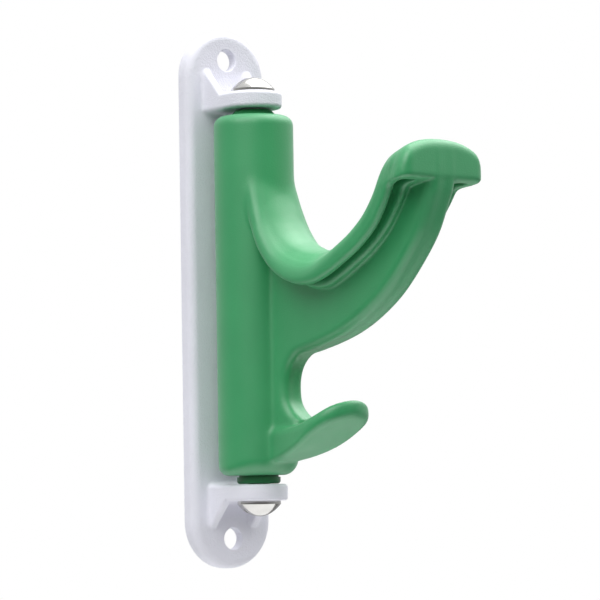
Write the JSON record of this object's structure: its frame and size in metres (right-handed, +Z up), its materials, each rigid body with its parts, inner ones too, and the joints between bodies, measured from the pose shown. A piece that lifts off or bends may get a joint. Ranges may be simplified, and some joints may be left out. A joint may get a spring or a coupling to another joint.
{
  "type": "swivelling wall hook",
  "caption": "Moulded hook with a wide crowned cradle and a small lower tongue, turning on a vertical axle between the lugs of a slim wall plate.",
  "frame": {"origin": "on the wall plane, at the middle of the plate's flat back face", "axes": "+X along the plate's width, +Y into the wall, +Z up; the hook stands out towards -Y"},
  "size_m": [0.0532, 0.1209, 0.2],
  "materials": {
    "plate_plastic": "fine satin grain",
    "hook_plastic": "fine satin grain",
    "bush_plastic": "turned, satin",
    "axle_steel": "drawn rod",
    "cap_steel": "polished stainless sheet",
    "spring_steel": "tempered"
  },
  "bodies": {
    "bracket": {"wall_plate": "plate_plastic", "axle": "axle_steel", "upper_cap": "cap_steel", "lower_cap": "cap_steel", "upper_grip_washer": "spring_steel", "lower_grip_washer": "spring_steel"},
    "hook": {"hook": "hook_plastic", "upper_bush": "bush_plastic", "lower_bush": "bush_plastic"}
  },
  "joints": [
    {"name": "hook_swivel", "type": "hinge", "parent": "bracket", "child": "hook", "pos_m": [0, -0.0231, 0], "axis": [0, 0, 1], "range_deg": [-97, 83]}
  ]
}
